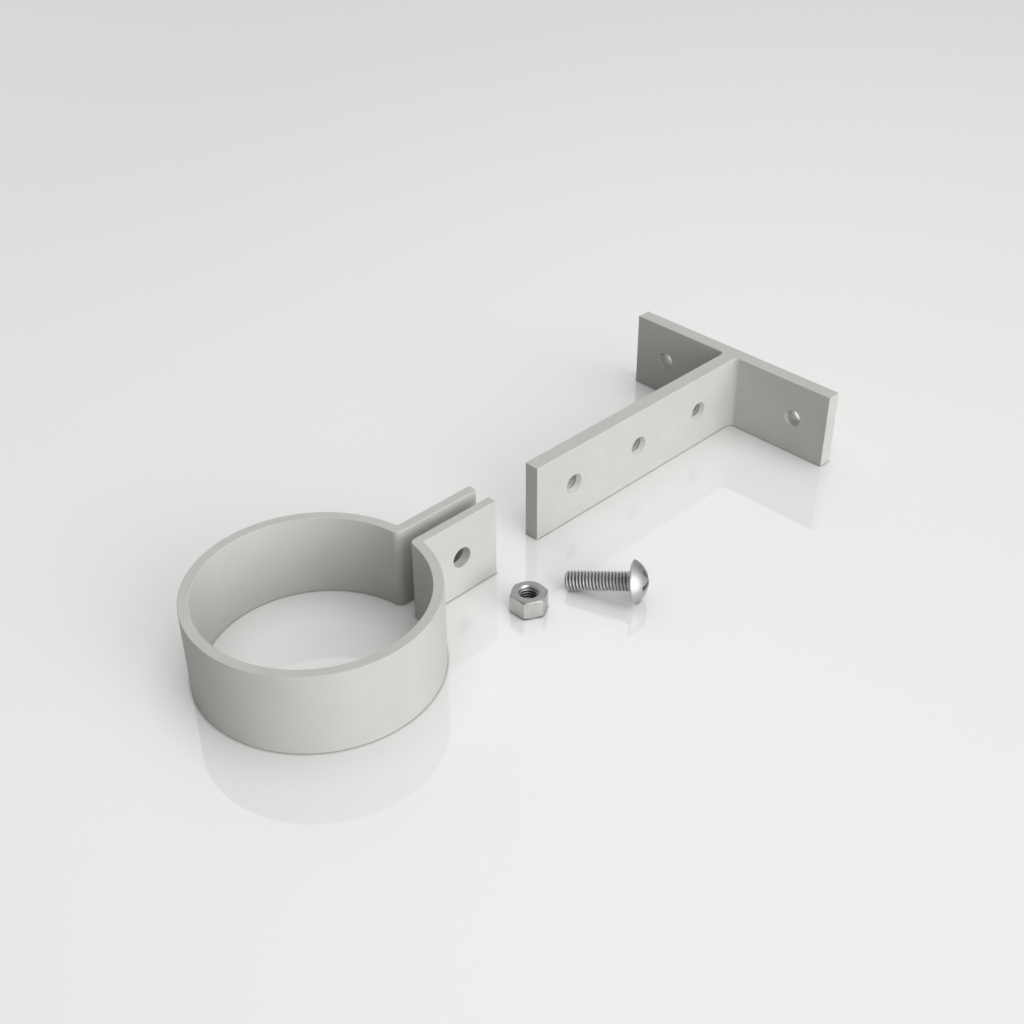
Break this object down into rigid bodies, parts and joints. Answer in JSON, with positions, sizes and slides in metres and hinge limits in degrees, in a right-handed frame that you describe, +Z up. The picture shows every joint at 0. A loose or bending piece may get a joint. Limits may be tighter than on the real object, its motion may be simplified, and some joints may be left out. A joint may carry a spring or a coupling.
{
  "type": "pipe clip",
  "caption": "Knocked-down pipe clip: a round strip clip with flat ears, a T-shaped wall bracket with a row of tapped holes, a cross-recess pan-head bolt and a hex nut.",
  "frame": {"origin": "middle of the footprint of the four pieces as laid out, on the surface they lie on", "axes": "+X along the bracket's arm, from the pipe ring to the wall plate; +Y across it, away from the bolt and nut; +Z up, along the pipe's axis"},
  "size_m": [0.2172, 0.0872, 0.026],
  "materials": {
    "coated_steel": "satin",
    "stainless_steel": "satin"
  },
  "bodies": {
    "root": {"pipe_ring": "coated_steel", "wall_bracket": "coated_steel", "clamp_bolt": "stainless_steel", "hex_nut": "stainless_steel"}
  },
  "joints": []
}
